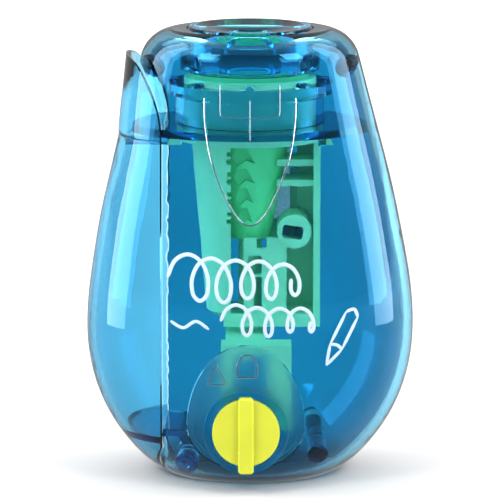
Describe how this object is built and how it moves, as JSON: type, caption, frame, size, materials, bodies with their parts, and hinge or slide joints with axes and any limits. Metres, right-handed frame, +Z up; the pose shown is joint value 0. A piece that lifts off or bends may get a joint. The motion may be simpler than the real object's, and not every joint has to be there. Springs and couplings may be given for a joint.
{
  "type": "manual pencil sharpener",
  "caption": "Hand-held twist pencil sharpener with a clear egg-shaped shell, green cutter unit, front point selector knob and a hinged shavings door with a thumb lip.",
  "frame": {"origin": "middle of the flat base, straight below the pencil hole, at the lowest point", "axes": "+Z up out of the pencil hole, front with the selector knob towards -Y, shavings door towards -X"},
  "size_m": [0.062, 0.0496, 0.0855],
  "materials": {
    "clear_blue": "gloss tinted clear plastic",
    "green": "satin moulded",
    "green_cone": "satin moulded",
    "blade_steel": "ground",
    "screw_steel": "zinc plated",
    "spring_steel": "rolled",
    "lime": "gloss moulded",
    "white_acetal": "moulded"
  },
  "bodies": {
    "housing": {"front_shell": "clear_blue", "rear_shell": "clear_blue", "selector_panel": "clear_blue", "pencil_funnel": "clear_blue", "support_deck": "clear_blue", "cutter_seat": "clear_blue", "carrier_pegs": "clear_blue", "cutter_carrier": "green", "sharpening_cone": "green_cone", "sharpener_blade": "blade_steel", "blade_screw": "screw_steel", "detent_spring": "spring_steel", "shell_screws": "screw_steel"},
    "door": {"shavings_door": "clear_blue"},
    "knob": {"selector_knob": "lime", "selector_cam": "white_acetal", "cam_washer": "screw_steel", "cam_screw": "screw_steel"},
    "stop": {"tip_stop": "green", "stop_pin": "screw_steel"}
  },
  "joints": [
    {"name": "door_hinge", "type": "hinge", "parent": "housing", "child": "door", "pos_m": [-0.0116, 0, 0.0046], "axis": [0, -1, 0], "range_deg": [0, 45]},
    {"name": "selector_turn", "type": "hinge", "parent": "housing", "child": "knob", "pos_m": [-0.00076, -0.022, 0.012], "axis": [0, -1, 0], "range_deg": [0, 27]},
    {"name": "stop_slide", "type": "slide", "parent": "housing", "child": "stop", "axis": [0, 0, 1], "range_m": [-0.00149, 0]}
  ],
  "couplings": [
    {"joint": "selector_turn", "follows": "stop_slide", "rad_per_m": -315.42}
  ]
}
